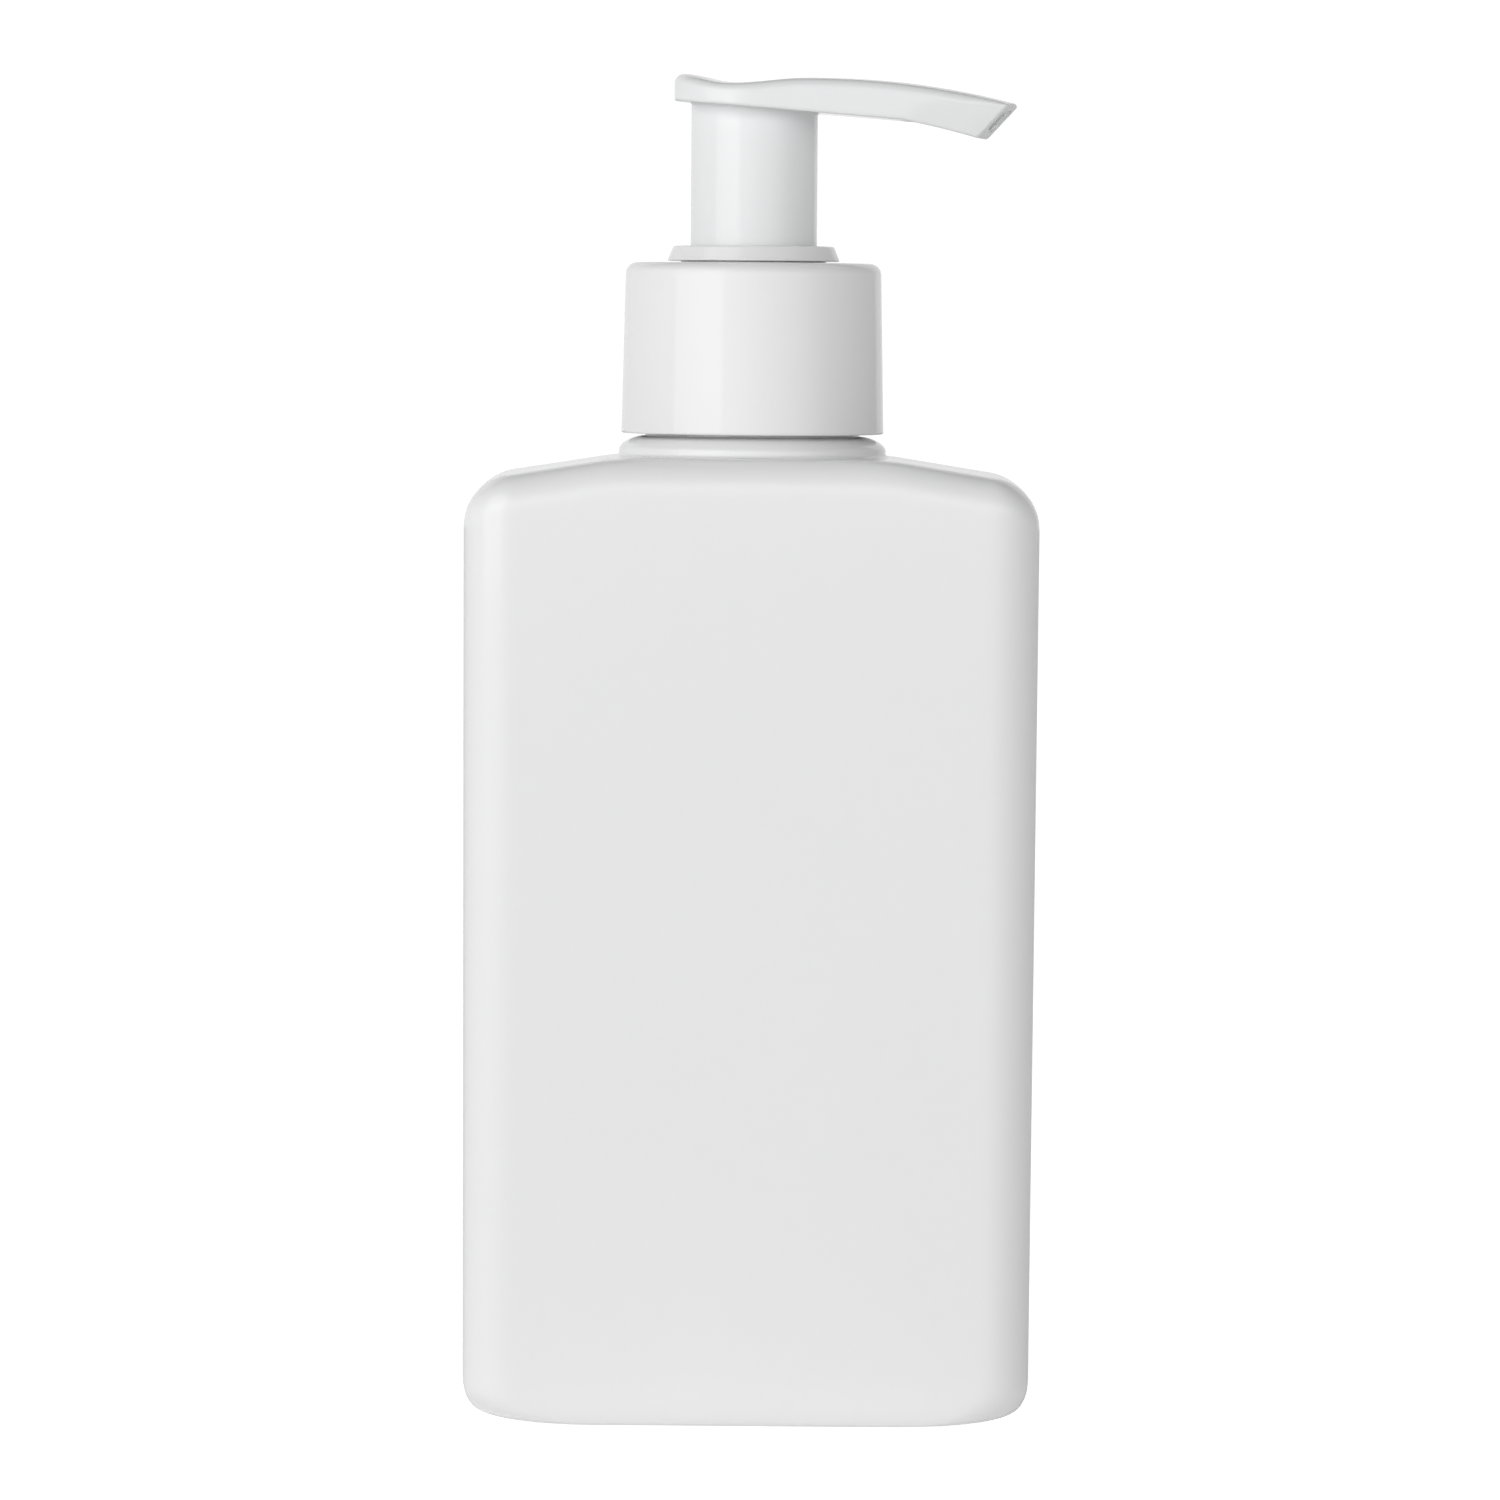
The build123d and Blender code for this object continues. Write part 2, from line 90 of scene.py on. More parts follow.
thread_depth = 1.1
thread_root = 2.3
thread_crest = 0.9
thread_fade = 0.05          # share of a turn over which each end runs out
neck_thread_drop = 9.9      # where the thread starts, below the rim
neck_thread_z = rim_z - neck_thread_drop
neck_thread_turns = 1.1
mould_line = 0.05           # height of the seam on the narrow sides
mould_line_width = 0.3
pinch_height = 0.3
pinch_width = 0.55
pinch_reach = 21.0
pinch_fade = 2.0            # length over which its ends run out


def fan(half_length, distance, count):
    """Shares of a straight side that look evenly spaced from the middle of the bottle."""
    reach = atan2(half_length, distance)
    return np.tan(np.linspace(-reach, reach, count + 2)[1:-1]) / tan(reach)


def plan(half_x, half_y, corner):
    """Rectangle with round corners, anticlockwise from the right, and its outward normals."""
    points, normals = [], []
    for quarter in range(4):
        across, along = (half_x, half_y) if quarter % 2 == 0 else (half_y, half_x)
        shares = side_shares if quarter % 2 == 0 else front_shares
        bend = np.linspace(0, pi / 2, corner_points)
        arc = np.column_stack((np.cos(bend), np.sin(bend)))
        straight = np.column_stack((np.full(len(shares), across), shares * (along - corner)))
        local = np.vstack((straight, arc * corner + (across - corner, along - corner)))
        outward = np.vstack((np.tile((1.0, 0.0), (len(shares), 1)), arc))
        turn = quarter * pi / 2
        spin = np.array(((cos(turn), sin(turn)), (-sin(turn), cos(turn))))
        points.append(local @ spin)
        normals.append(outward @ spin)
    return np.vstack(points), np.vstack(normals)


def level(points, z):
    """Plan points lifted to a height, which may differ from point to point."""
    return np.column_stack((points, np.broadcast_to(z, len(points))))


def roof(points, inset=0.0):
    """Height of the shoulder's upper face over plan points."""
    out = np.abs(points[:, 0]) - bead_radius
    bent = (out + slope_blend) ** 2 / (4 * slope_blend)
    fall = np.where(np.abs(out) < slope_blend, bent, np.maximum(out, 0))
    dome = ridge_fall * (points[:, 0] / bottle_high.x * points[:, 1] / bottle_high.y) ** 2
    return shoulder_z - inset - slope * fall - dome


def body_rings(inset, end_radius):
    """Rings of the blown body, from the foot's edge to a circle in the shoulder.

    Close pairs of rings at the ends of the flat parts keep their shading flat.
    """
    foot_plan, _ = plan(foot_half[0] - inset, foot_half[1] - inset, foot_corner - inset)
    top_plan, normal = plan(
        bottle_high.x - mould_line - inset, bottle_high.y - inset, plan_corner - inset)
    rounding = side_round * normal[:, 0] ** 2 + front_round * normal[:, 1] ** 2 - inset
    stop = pi / 2 - np.abs(normal[:, 0]) * slope_angle
    inner = top_plan - normal * (rounding * (1 - np.cos(stop)))[:, None]
    spring_z = roof(inner, inset) - rounding * np.sin(stop)
    middle = (1 - (top_plan[:, 0] / (bottle_high.x - plan_corner)) ** 2).clip(0) * np.abs(normal[:, 1])

    def wall(z):
        height = (z - heel_rise) / (spring_z - heel_rise)
        sink = panel_sink * middle * np.sin(pi * height.clip(0, 1)) ** 2
        lean = draft * (spring_z - z)
        seam = mould_line * np.exp(-((top_plan[:, 1] / mould_line_width) ** 2))
        seam *= np.abs(normal[:, 0]) * (inset == 0)
        return level(top_plan - normal * (sink + lean - seam)[:, None], z)

    rings = []
    for bend in np.linspace(pi / 2, 0, 15):
        z = inset + (heel_rise - inset) * (1 - sin(bend))
        blend = 1 - cos(bend)
        rings.append(wall(np.full(len(top_plan), z)) * (1 - blend) + level(foot_plan, z) * blend)
    for share in (0.004, *np.linspace(0.03, 0.97, 20), 0.996):
        rings.append(wall(heel_rise + (spring_z - heel_rise) * share))
    for share in np.linspace(0, 1, 17):
        bend = stop * share
        rings.append(level(top_plan - normal * (rounding * (1 - np.cos(bend)))[:, None],
                           spring_z + rounding * np.sin(bend)))
    angle = np.arctan2(inner[:, 1], inner[:, 0])
    circle = end_radius * np.column_stack((np.cos(angle), np.sin(angle)))
    for share in (0.02, *np.linspace(0.08, 1, 16)):
        points = inner + (circle - inner) * share
        rings.append(level(points, roof(points, inset)))
    return rings, angle


def thread_height(angle, z, start_z, turns):
    """Height of a right-handed thread's ridge, 0 to 1, at places on the wall that carries it."""
    height = np.zeros_like(angle)
    for turn in range(ceil(turns) + 1):
        climbed = angle / (2 * pi) % 1 + turn
        off = np.abs(z - start_z - thread_pitch * climbed)
        flank = ((thread_root / 2 - off) / ((thread_root - thread_crest) / 2)).clip(0, 1)
        ends = (climbed / thread_fade).clip(0, 1) * ((turns - climbed) / thread_fade).clip(0, 1)
        height = np.maximum(height, flank * flank * (3 - 2 * flank) * ends)
    return height


def circle_ring(angle, radius, z):
    """One level ring around the pump's axis."""
    return np.column_stack((radius * np.cos(angle), radius * np.sin(angle), np.full_like(angle, z)))


def skin(name, rings, capped, sharp=32.0):
    """Closed quad mesh through rings of equal length. It ends in caps, or joins end to end."""
    count = len(rings[0])
    points = np.vstack(rings) * MM
    bm = bmesh.new()
    verts = [bm.verts.new(p) for p in points]
    last = len(rings) - 1 if capped else len(rings)
    for i in range(last):
        below, above = i * count, (i + 1) % len(rings) * count
        for j in range(count):
            k = (j + 1) % count
            bm.faces.new((verts[below + j], verts[below + k], verts[above + k], verts[above + j]))
    if capped:
        for ring in (verts[:count], verts[-count:]):
            centre = bm.verts.new(sum((v.co for v in ring), Vector()) / count)
            for j in range(count):
                bm.faces.new((ring[j], ring[(j + 1) % count], centre))
    return finished(name, bm, sharp)


def finished(name, bm, sharp=32.0):
    """Object from a mesh in the making: normals outward, smooth except across sharp edges."""
    bmesh.ops.recalc_face_normals(bm, faces=bm.faces)
    for face in bm.faces:
        face.smooth = True
    for edge in bm.edges:
        edge.smooth = edge.calc_face_angle(0.0) < radians(sharp)
    mesh = bpy.data.meshes.new(name)
    bm.to_mesh(mesh)
    bm.free()
    piece = bpy.data.objects.new(name, mesh)
    bpy.context.scene.collection.objects.link(piece)
    return piece


class Signal:
    """A socket in a material, on which a Python sum adds its Math nodes."""

    def __init__(self, paint, socket):
        self.paint = paint
        self.socket = socket

    def maths(self, operation, first, second):
        return self.paint.node("ShaderNodeMath", {"operation": operation}, {0: first, 1: second})

    def __add__(self, other):
        return self.maths("ADD", self, other)

    def __sub__(self, other):
        return self.maths("SUBTRACT", self, other)

    def __rsub__(self, other):
        return self.maths("SUBTRACT", other, self)

    def __mul__(self, other):
        return self.maths("MULTIPLY", self, other)

    __radd__ = __add__
    __rmul__ = __mul__


class Paint:
    """A node tree. Its node method adds any node and hands back one output as a Signal."""

    def __init__(self, tree):
        self.tree = tree
        self.tree.nodes.clear()

    def node(self, kind, settings=None, inputs=None, output=0):
        made = self.tree.nodes.new(kind)
        for name, value in (settings or {}).items():
            setattr(made, name, value)
        for name, value in (inputs or {}).items():
            if isinstance(value, Signal):
                self.tree.links.new(value.socket, made.inputs[name])
            else:
                made.inputs[name].default_value = value
        return Signal(self, made.outputs[output]) if len(made.outputs) else made

    def noise(self, place, scale, detail=2.0):
        return self.node("ShaderNodeTexNoise", {}, {"Vector": place, "Scale": scale, "Detail": detail})

    def mix(self, share, first, second):
        """Colour between two colours. Sockets 6 and 7 are the colour inputs of a Mix node."""
        return self.node("ShaderNodeMix", {"data_type": "RGBA"}, {0: share, 6: first, 7: second}, 2)


def new_paint(name):
    """A bare node material and the paint that fills it."""
    material = bpy.data.materials.new(name)
    material.use_nodes = True
    return material, Paint(material.node_tree)


cloud_scale = 45.0          # clouds in the colour and gloss, per metre
swell_scale = 110.0         # slow swells under the fine skin
swell_share = 2.5           # their height, in heights of the fine skin
peel_depth = 0.004          # height of the fine skin
gloss_spread = 0.04         # how far the clouds move the roughness, each way


def moulded(name, colour, roughness, mottle=0.015, peel=900.0):
    """Moulded plastic: faint clouds in its colour and gloss, and a fine uneven skin."""
    material, paint = new_paint(name)
    place = paint.node("ShaderNodeTexCoord", output="Object")
    cloud = paint.noise(place, cloud_scale)
    fine = paint.noise(place, peel)
    swell = paint.noise(place, swell_scale, 1.0)
    deeper = [c * (1 - mottle) for c in colour]
    bump = paint.node("ShaderNodeBump", {}, {
        "Strength": 0.35,
        "Distance": peel_depth * MM,
        "Height": fine + swell_share * swell,
    })
    surface = paint.node("ShaderNodeBsdfPrincipled", {}, {
        "Base Color": paint.mix(cloud, (*colour, 1), (*deeper, 1)),
        "Roughness": roughness - gloss_spread + 2 * gloss_spread * cloud,
        "IOR": 1.5,
        "Normal": bump,
    })
    paint.node("ShaderNodeOutputMaterial", {}, {"Surface": surface})
    return material


corner_points = 21
seam_clear = 0.05           # share of a narrow side left to the points of its seam
seam_points = np.array((-0.5, -0.3, -0.15, 0.0, 0.15, 0.3, 0.5))
side_fan = fan(bottle_high.y - plan_corner, bottle_high.x, 40)
side_fan = side_fan[np.abs(side_fan) > seam_clear]
side_shares = np.sort(np.concatenate((side_fan, seam_points / (bottle_high.y - plan_corner))))
front_shares = fan(bottle_high.x - plan_corner, bottle_high.y, 96)

outer, neck_angle = body_rings(0.0, bead_radius + bead_root)
foot_plan, _ = plan(foot_half[0] - foot_width, foot_half[1] - foot_width, foot_corner - foot_width)
lip_plan, _ = plan(foot_half[0] - foot_width - push_up, foot_half[1] - foot_width - push_up,
                   foot_corner - foot_width - push_up)


def base_panel(points, z):
    """Recessed base with the pinched weld along its middle."""
    weld = pinch_height * np.exp(-((points[:, 1] / pinch_width) ** 2))
    weld *= ((pinch_reach - np.abs(points[:, 0])) / pinch_fade).clip(0, 1)
    return level(points, z - weld)


base = [base_panel(lip_plan * share, push_up) for share in np.linspace(0.03, 1, 18)]
base.append(level(foot_plan, 0.0))
base.append(level(foot_plan + (outer[0][:, :2] - foot_plan) * 0.9, 0.0))

bead = []
for bend in np.linspace(0, pi / 2, 5)[1:]:
    bead.append((bead_radius + bead_root * (1 - sin(bend)), shoulder_z + bead_root * (1 - cos(bend))))
for bend in np.linspace(0, pi / 2, 18):
    across = cos(bend) ** (2 / bead_power)
    up = sin(bend) ** (2 / bead_power)
    bead.append((bead_radius - bead_dome[0] * (1 - across),
                 shoulder_z + bead_root + bead_land + (bead_dome[1] - bead_root) * up))
bead_top = bead[-1][1]
step_top = bead_top + step_rise
bead += [
    (step_radius, step_top - 3 * neck_edge),
    (step_radius - neck_edge, step_top),
    (neck_radius + neck_edge, step_top),
]
neck = [circle_ring(neck_angle, r, z) for r, z in bead]
for z in np.linspace(step_top + neck_edge, rim_z - rim_round - neck_edge, 64):
    ridge = thread_depth * thread_height(neck_angle, z, neck_thread_z, neck_thread_turns)
    neck.append(circle_ring(neck_angle, neck_radius + ridge, z))
for bend in np.linspace(0, pi / 2, 6):
    radius = neck_radius - rim_round * (1 - cos(bend))
    neck.append(circle_ring(neck_angle, radius, rim_z - rim_round * (1 - sin(bend))))
neck.append(circle_ring(neck_angle, neck_bore + bore_edge, rim_z))
neck.append(circle_ring(neck_angle, neck_bore, rim_z - bore_edge))
neck.append(circle_ring(neck_angle, neck_bore, shoulder_z - body_wall + inner_root))

inner, _ = body_rings(body_wall, neck_bore)
inner.reverse()
inside_base = [level(foot_plan * 0.98, body_wall)]
inside_base += [level(lip_plan * share, push_up + body_wall) for share in np.linspace(0.94, 0.03, 10)]

bottle = skin("blown_bottle", base + outer + neck + inner + inside_base, capped=True)
bottle_white = (0.875, 0.875, 0.88)
bottle.data.materials.append(
    moulded("white_blown_polyethylene", bottle_white, roughness=0.11, peel=700.0))
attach(bottle, "bottle")
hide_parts("bottle")


# Dip tube. An extruded polyethylene tube, pushed up into the pump's tail and cut at a slant,
# so that it can't seal itself against the base. Drawing leaves faint lines along it.
def dress(node, material):
    """Gives a carried-over CAD node its finish."""
    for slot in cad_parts[node].material_slots:
        slot.material = material


def drawn(name, colour, roughness, metallic, line_scale, line_depth):
    """A drawn or extruded surface, with fine lines that run along the pump's axis."""
    material, paint = new_paint(name)
    place = paint.node("ShaderNodeTexCoord", output="Object")
    stretch = (1.0, 1.0, 0.02)
    along = paint.node("ShaderNodeVectorMath", {"operation": "MULTIPLY"}, {0: place, 1: stretch})
    lines = paint.noise(along, line_scale, 3.0)
    cloud = paint.noise(place, 60.0)
    darker = [c * 0.93 for c in colour]
    bump = paint.node("ShaderNodeBump", {}, {
        "Strength": 0.4,
        "Distance": line_depth * MM,
        "Height": lines,
    })
    surface = paint.node("ShaderNodeBsdfPrincipled", {}, {
        "Base Color": paint.mix(lines, (*colour, 1), (*darker, 1)),
        "Roughness": roughness + 0.1 * cloud,
        "Metallic": metallic,
        "Normal": bump,
    })
    paint.node("ShaderNodeOutputMaterial", {}, {"Surface": surface})
    return material


tube_plastic = drawn("extruded_tube", (0.80, 0.82, 0.81), roughness=0.34, metallic=0.0,
                     line_scale=1500.0, line_depth=0.02)
dress("dip_tube", tube_plastic)


# Pump housing. One injection moulding in natural polypropylene: the flange that the collar
# clamps, the wide chamber, the narrow cylinder and the socket for the tube.
natural_plastic = moulded("natural_polypropylene", (0.78, 0.80, 0.79), roughness=0.34, mottle=0.05)
dress("pump_housing", natural_plastic)


# Inlet ball. A ground glass ball, loose in the chamber at the housing's foot. It lifts as the
# pump fills and drops on its seat to keep the liquid in. Fine scuffs dull it a little.
ball_glass, glass_paint = new_paint("ground_glass_ball")
glass_place = glass_paint.node("ShaderNodeTexCoord", output="Object")
scuffs = glass_paint.noise(glass_place, 2500.0, 4.0)
glass = glass_paint.node("ShaderNodeBsdfPrincipled", {}, {
    "Base Color": glass_paint.mix(scuffs, (0.86, 0.93, 0.90, 1), (0.78, 0.88, 0.85, 1)),
    "Roughness": 0.03 + 0.06 * scuffs,
    "IOR": 1.52,
    "Transmission Weight": 0.9,
})
glass_paint.node("ShaderNodeOutputMaterial", {}, {"Surface": glass})
dress("inlet_ball", ball_glass)


# Ball cage. A small seat for the spring, moulded in natural polypropylene like the housing.
# It stands on the cylinder's floor, with three ribs over the inlet ball.
dress("ball_cage", natural_plastic)


# Return spring. Bright stainless wire, coiled with closed ends that are ground flat. It stands
# on the ball cage and pushes the plunger up, and it shortens as the head is pressed.
spring_low, spring_high = (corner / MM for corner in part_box("return_spring"))
wire_radius = 0.4
coil_radius = spring_high.x - wire_radius
spring_turns = 8.5
closed_turns = 0.9
wire_points = 14
points_per_turn = 44
climb = np.linspace(0, spring_turns, int(spring_turns * points_per_turn) + 1)
open_turns = spring_turns - 2 * closed_turns
closed_rise = 2.2 * wire_radius     # a closed turn climbs a little over one wire
open_rise = spring_high.z - spring_low.z - 2 * closed_rise
rise = (closed_rise * (climb / closed_turns).clip(0, 1)
        + open_rise * ((climb - closed_turns) / open_turns).clip(0, 1)
        + closed_rise * ((climb - closed_turns - open_turns) / closed_turns).clip(0, 1))
coil_rings = []
for turned, height in zip(climb, rise):
    around = np.linspace(0, 2 * pi, wire_points, endpoint=False)
    radius = coil_radius + wire_radius * np.cos(around)
    z = (spring_low.z + height + wire_radius * np.sin(around)).clip(spring_low.z, spring_high.z)
    angle = 2 * pi * turned
    coil_rings.append(np.column_stack((radius * cos(angle), radius * sin(angle), z)))
spring = skin("coil_spring", coil_rings, capped=True, sharp=60.0)
spring_wire = drawn("bright_spring_wire", (0.62, 0.62, 0.63), roughness=0.14, metallic=1.0,
                    line_scale=5000.0, line_depth=0.01)
spring.data.materials.append(spring_wire)
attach(spring, "pump")
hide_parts("return_spring")
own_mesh(spring)


# Piston rod. A hollow plug moulded in natural polypropylene. It carries the piston, is pressed
# into the stem's foot, and has the outlet ball's seat on top.
dress("piston_rod", natural_plastic)


# Piston. A soft ring of white polyethylene with a sealing lip at each end. It sits on the
# piston rod's flange and slides in the housing's cylinder.
piston_plastic = moulded("soft_piston_polyethylene", (0.86, 0.86, 0.85), roughness=0.42,
                         mottle=0.03, peel=1600.0)
dress("piston", piston_plastic)


# Stem. A hollow rod moulded in white polypropylene, which carries the liquid up from the
# piston. Its top is pressed into the head's socket.
stem_plastic = moulded("stem_polypropylene", (0.82, 0.83, 0.83), roughness=0.34, mottle=0.03)
dress("stem", stem_plastic)


# Outlet ball. A polished stainless ball, loose in the stem. It closes the piston rod's bore
# while the pump fills.
ball_steel = drawn("polished_ball_steel", (0.72, 0.72, 0.73), roughness=0.06, metallic=1.0,
                   line_scale=3000.0, line_depth=0.002)
dress("outlet_ball", ball_steel)


# Neck gasket. A flat ring cut from white foamed polyethylene. The collar squeezes it between
# the neck's rim and the pump's flange.
foam, foam_paint = new_paint("foamed_gasket")
foam_place = foam_paint.node("ShaderNodeTexCoord", output="Object")
cells = foam_paint.node("ShaderNodeTexVoronoi", {}, {"Vector": foam_place, "Scale": 4000.0})
cell_depth = 0.05           # of the foam's pores
cell_bump = foam_paint.node("ShaderNodeBump", {}, {
    "Strength": 0.6,
    "Distance": cell_depth * MM,
    "Height": cells,
})
foam_surface = foam_paint.node("ShaderNodeBsdfPrincipled", {}, {
    "Base Color": foam_paint.mix(cells, (0.86, 0.86, 0.84, 1), (0.74, 0.74, 0.72, 1)),
    "Roughness": 0.75 + 0.15 * cells,
    "Normal": cell_bump,
})
foam_paint.node("ShaderNodeOutputMaterial", {}, {"Surface": foam_surface})
dress("neck_gasket", foam)


# Lock ring. A smooth cone-edged ring that snaps into the housing through the collar's hole and
# holds the plunger in. Moulded in white polypropylene, like the collar.
def outline(*corners, steps=8):
    """Closed outline through (radius, height, rounding) corners, with arcs for the roundings.

    A guard point on each side of a corner keeps the shading of the straight parts flat.
    """
    guard = 0.12
    points = []
    for i, (r, z, rounding) in enumerate(corners):
        here = Vector((r, z))
        before = (Vector(corners[i - 1][:2]) - here).normalized()
        after = (Vector(corners[(i + 1) % len(corners)][:2]) - here).normalized()
        if not rounding:
            points += [here + before * guard, here, here + after * guard]
            continue
        half = acos(max(-1.0, min(1.0, before @ after))) / 2
        reach = rounding / tan(half)
        centre = here + (before + after).normalized() * rounding / sin(half)
        start = here + before * reach - centre
        end = here + after * reach - centre
        sweep = (atan2(end.y, end.x) - atan2(start.y, start.x) + pi) % (2 * pi) - pi
        points.append(here + before * (reach + guard))
        for step in range(steps + 1):
            points.append(centre + Matrix.Rotation(sweep * step / steps, 2) @ start)
        points.append(here + after * (reach + guard))
    return [tuple(p) for p in points]


ring_low, ring_high = (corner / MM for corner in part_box("lock_ring"))
ring_height = 1.9
ring_cone = 0.75
ring_bore = 8.25
sleeve_radius = 9.15
ring_foot_z = ring_high.z - ring_height
ring_edge = 10.85
cone_outline = outline(
    (ring_bore, ring_low.z, 0),
    (sleeve_radius, ring_low.z, 0.2),
    (sleeve_radius, ring_foot_z, 0),
    (ring_edge, ring_foot_z, 0.15),
    (ring_edge - ring_cone, ring_high.z, 0.4),
    (ring_bore, ring_high.z, 0.3),
)
ring_angle = np.linspace(0, 2 * pi, 192, endpoint=False)
cone_ring = skin("cone_ring", [circle_ring(ring_angle, r, z) for r, z in cone_outline], capped=False)
closure_white = (0.845, 0.845, 0.845)
closure_plastic = moulded("white_closure_polypropylene", closure_white, roughness=0.09,
                          mottle=0.01, peel=1200.0)
cone_ring.data.materials.append(closure_plastic)
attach(cone_ring, "pump")
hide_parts("lock_ring")


# Collar. The smooth screw cap in glossy white polypropylene. Its thread runs inside, and its
# plate clamps the pump's flange on the neck. A little taper lets it leave its mould.
collar_low, collar_high = (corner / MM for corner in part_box("collar"))
collar_foot = 16.5
collar_taper = 0.45
collar_bore = 14.05
collar_hole = 9.5
collar_plate = 1.6
collar_thread_turns = 1.5
collar_thread_z = neck_thread_z - thread_pitch / 2
thread_margin = 0.8         # plain bore above and below the threaded wall
collar_angle = np.linspace(0, 2 * pi, 224, endpoint=False)
plate_z = collar_high.z - collar_plate
shell = outline(
    (collar_bore, collar_low.z, 0.25),
    (collar_foot, collar_low.z, 0.25),
    (collar_foot - collar_taper, collar_high.z, 1.45),
    (collar_hole, collar_high.z, 0.3),
    (collar_hole, plate_z, 0),
    (collar_bore, plate_z, 0.5),
    steps=10,
)
shell_rings = [circle_ring(collar_angle, r, z) for r, z in shell]
for z in np.linspace(plate_z - thread_margin, collar_low.z + thread_margin, 90):
    ridge = thread_depth * thread_height(collar_angle, z, collar_thread_z, collar_thread_turns)
    shell_rings.append(circle_ring(collar_angle, collar_bore - ridge, z))
collar = skin("screw_collar", shell_rings, capped=False)
collar.data.materials.append(closure_plastic)
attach(collar, "collar")
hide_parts("collar")


# Pump head. The saddle-topped spout, its smooth wide skirt and the socket for the stem are one
# glossy white moulding. The spout tapers to a slanted end, where the liquid leaves.
head_low, head_high = (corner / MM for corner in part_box("pump_head"))
head_turn = radians(-10.0)
head_radius = 10.1
spout_reach = 33.0
end_half = 4.55
end_corner = 0.6
edge_round = 1.2            # along the spout's back
end_round = 0.35            # around its slanted end
edge_fade = (5.0, 0.5)      # from the end, where one becomes the other
under_round = 0.35
underside_z = head_high.z - 4.25
fall = tan(radians(4.6))
tip_z = underside_z + 0.6
toe_reach = 28.9
toe_z = underside_z - 3.8
chin_reach = 18.3
chin_bend = 0.15            # share of the chin over which it bends down
skirt_radius = 7.95
skirt_wall = 1.0
skirt_bead = 8.75
skirt_bead_height = 1.3
skirt_root = 0.3
skirt_edge = (0.4, 0.5)     # bevel under the bead, across and up
inner_edge = 0.3            # soft corners inside the skirt and the socket
small_edge = 0.1
seat_edge = 0.05
socket_bore = 3.25
socket_wall = 1.15
socket_foot_z = underside_z - 16.0
stem_top_z = underside_z - 1.9
roof_z = underside_z - 2.4
back_crown = 0.35           # how much the spout's back falls to each side
back_line = ((-8.9, 4.25), (-2.8, 3.2), (7.5, 3.75), (21.0, 2.95), (33.0, 0.6))
channel_line = ((0.0, 0.7), (9.0, 1.5), (19.0, 0.9), (33.0, -2.1))
channel_radius = 1.4
mouth_border = 1.1
mouth_depth = 0.2
mouth_clear = 2.0           # how far its cutter stands out of the end
mouth_power = 0.4           # squareness of its corners

tangent = atan2(end_half, spout_reach) + acos(head_radius / hypot(end_half, spout_reach))
back_slopes = np.gradient([z for _, z in back_line], [u for u, _ in back_line])
back_slopes[0] = 0.0        # level at the heel
back_slopes[-1] = -0.27     # and falling at the tip


def along_curve(u, knots, slopes):
    """Height on a smooth curve through knots with these slopes."""
    reach = np.array([k[0] for k in knots])
    height = np.array([k[1] for k in knots])
    i = (np.searchsorted(reach, u) - 1).clip(0, len(knots) - 2)
    span = reach[i + 1] - reach[i]
    t = ((u - reach[i]) / span).clip(0, 1)
    return (height[i] * (1 + 2 * t) * (1 - t) ** 2 + slopes[i] * span * t * (1 - t) ** 2
            + height[i + 1] * t ** 2 * (3 - 2 * t) - slopes[i + 1] * span * t ** 2 * (1 - t))


def half_width(u):
    """Half the spout's width at each place along it."""
    side = head_radius / sin(tangent) - u / tan(tangent)
    return np.where(u < head_radius * cos(tangent), np.sqrt((head_radius ** 2 - u ** 2).clip(1.0)), side)


def back_z(points):
    """The spout's back: a saddle along it, a slight crown across it."""
    u = points[:, 0]
    side = (points[:, 1] / half_width(u)) ** 2
    return underside_z + along_curve(u, back_line, back_slopes) - back_crown * side


def under_z(points):
    """The underside: a straight fall, then a chin that drops to the toe of the slanted end."""
    u = points[:, 0]
    drop = ((u - chin_reach) / (spout_reach - chin_reach)).clip(0, 1)
    chin_z = underside_z - fall * chin_reach
    share = np.where(drop < chin_bend, drop ** 2 / (2 * chin_bend), drop - chin_bend / 2)
    share /= 1 - chin_bend / 2
    return np.where(u < chin_reach, underside_z - fall * u, chin_z - (chin_z - toe_z) * share)


def slanted(ring):
    """Shears the far end of the spout back below its tip, so that the end face slants."""
    u, z = ring[:, 0], ring[:, 2]
    end = spout_reach - ((tip_z - z) * (spout_reach - toe_reach) / (tip_z - toe_z)).clip(0)
    far = chin_reach + (u - chin_reach) * (end - chin_reach) / (spout_reach - chin_reach)
    out = ring.copy()
    out[:, 0] = np.where(u > chin_reach, far, u)
    return out


# The head's outline from above, anticlockwise from the middle of the spout's end. Half of it is
# worked out: the end, its corner, the straight side and the round heel. The rest mirrors it.
end_shares = np.linspace(0, 1, 9)[:-1]
corner_bend = np.linspace(0, tangent, 8)
corner_centre = Vector((spout_reach - end_corner, end_half - end_corner))
quarter_points, quarter_normals = [], []
for share in end_shares:
    quarter_points.append((spout_reach, share * (end_half - end_corner)))
    quarter_normals.append((1.0, 0.0))
for bend in corner_bend:
    quarter_points.append((corner_centre.x + end_corner * cos(bend),
                           corner_centre.y + end_corner * sin(bend)))
    quarter_normals.append((cos(bend), sin(bend)))
corner_end = Vector(quarter_points[-1])
join = Vector((head_radius * cos(tangent), head_radius * sin(tangent)))
first_angle = atan2(corner_end.y, corner_end.x)
side = join - corner_end
